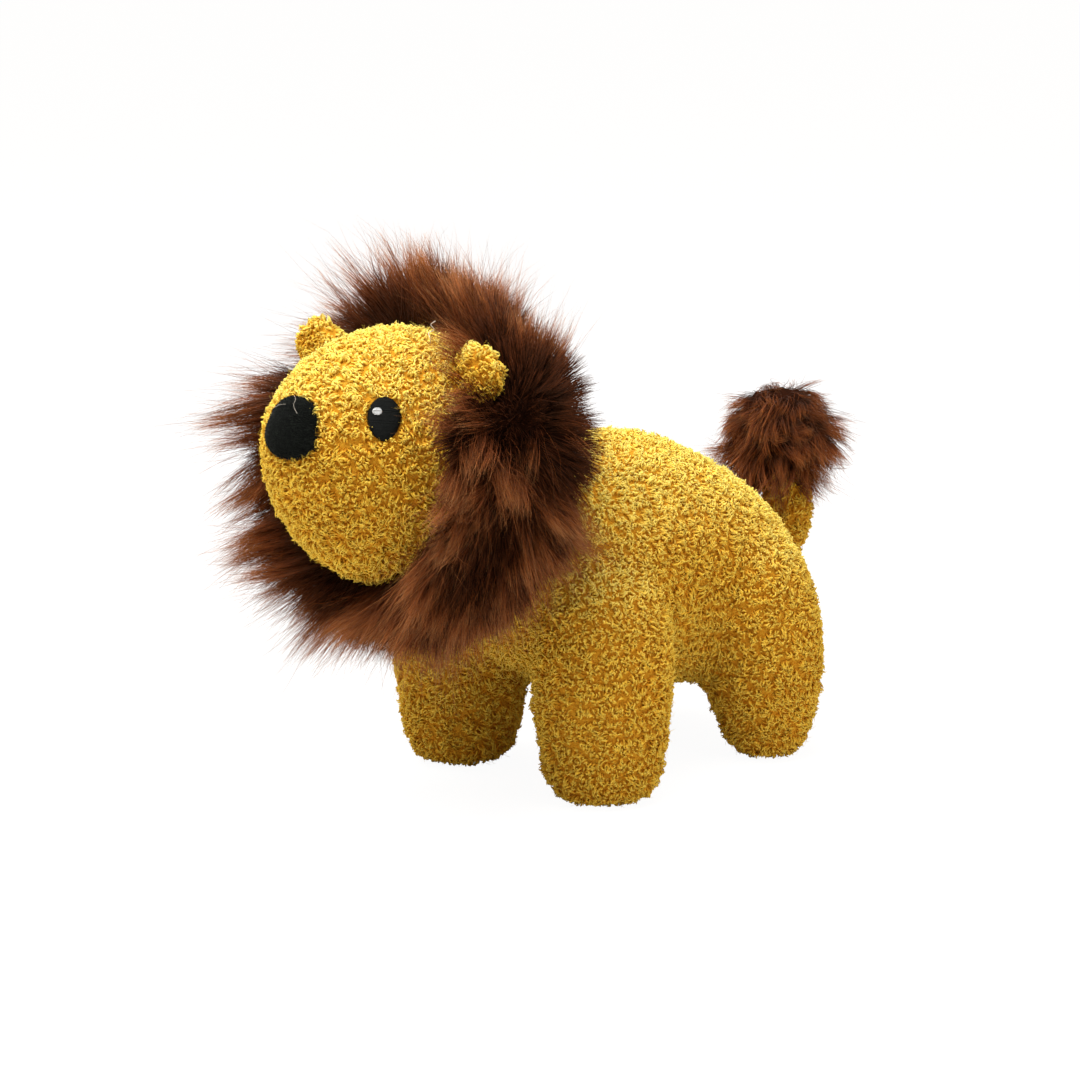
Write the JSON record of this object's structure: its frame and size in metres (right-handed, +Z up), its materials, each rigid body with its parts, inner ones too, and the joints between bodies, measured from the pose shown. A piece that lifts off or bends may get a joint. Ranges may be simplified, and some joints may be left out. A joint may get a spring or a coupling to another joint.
{
  "type": "plush lion",
  "caption": "Stuffed plush lion standing on its legs, with a curly pile cover, a long-fur mane round the head and a fur tuft on the raised tail.",
  "frame": {"origin": "on the ground, below the middle of the whole lion", "axes": "+Z up, the lion faces -Y and its tail is on +Y, its left side is on +X"},
  "size_m": [0.174, 0.3102, 0.2261],
  "materials": {
    "curly_pile": "matt curled pile, mustard yellow",
    "long_fur": "long glossy pile, dark brown",
    "fur_ground_cloth": "matt knitted ground cloth, dark brown",
    "filling": "loose polyester fibre, off-white",
    "nose_cloth": "matt brushed cloth, black",
    "eye_thread": "satin embroidery thread, black",
    "glint_thread": "satin embroidery thread, white"
  },
  "bodies": {
    "body": {"body_left_panel": "curly_pile", "body_right_panel": "curly_pile", "belly_panel": "curly_pile", "body_filling": "filling", "front_left_leg_cover": "curly_pile", "front_left_leg_filling": "filling", "front_left_sole": "curly_pile", "front_right_leg_cover": "curly_pile", "front_right_leg_filling": "filling", "front_right_sole": "curly_pile", "hind_left_leg_cover": "curly_pile", "hind_left_leg_filling": "filling", "hind_left_sole": "curly_pile", "hind_right_leg_cover": "curly_pile", "hind_right_leg_filling": "filling", "hind_right_sole": "curly_pile"},
    "head": {"head_left_panel": "curly_pile", "head_right_panel": "curly_pile", "head_gusset": "curly_pile", "head_filling": "filling", "nose_patch": "nose_cloth", "left_eye": "eye_thread", "right_eye": "eye_thread", "left_eye_glint": "glint_thread", "right_eye_glint": "glint_thread", "mane_cloth": "fur_ground_cloth", "mane_fur": "long_fur"},
    "left_ear": {"left_ear_front": "curly_pile", "left_ear_back": "curly_pile"},
    "right_ear": {"right_ear_front": "curly_pile", "right_ear_back": "curly_pile"},
    "tail": {"tail_sleeve": "curly_pile", "tail_filling": "filling", "tuft_cloth": "fur_ground_cloth", "tuft_fur": "long_fur"}
  },
  "joints": [
    {"name": "head_nod", "type": "hinge", "parent": "body", "child": "head", "pos_m": [0, -0.04483, 0.119], "axis": [1, 0, 0], "range_deg": [-8, 8], "stiffness_Nm_per_rad": 2},
    {"name": "tail_sway", "type": "hinge", "parent": "body", "child": "tail", "pos_m": [0, 0.12117, 0.072], "axis": [0, 1, 0], "range_deg": [-25, 25], "stiffness_Nm_per_rad": 0.05},
    {"name": "left_ear_fold", "type": "hinge", "parent": "head", "child": "left_ear", "pos_m": [0.04074, -0.09283, 0.18094], "axis": [-0.6288, 0, 0.7776], "range_deg": [-20, 20], "stiffness_Nm_per_rad": 0.01},
    {"name": "right_ear_fold", "type": "hinge", "parent": "head", "child": "right_ear", "pos_m": [-0.04074, -0.09283, 0.18094], "axis": [-0.6288, 0, -0.7776], "range_deg": [-20, 20], "stiffness_Nm_per_rad": 0.01}
  ]
}
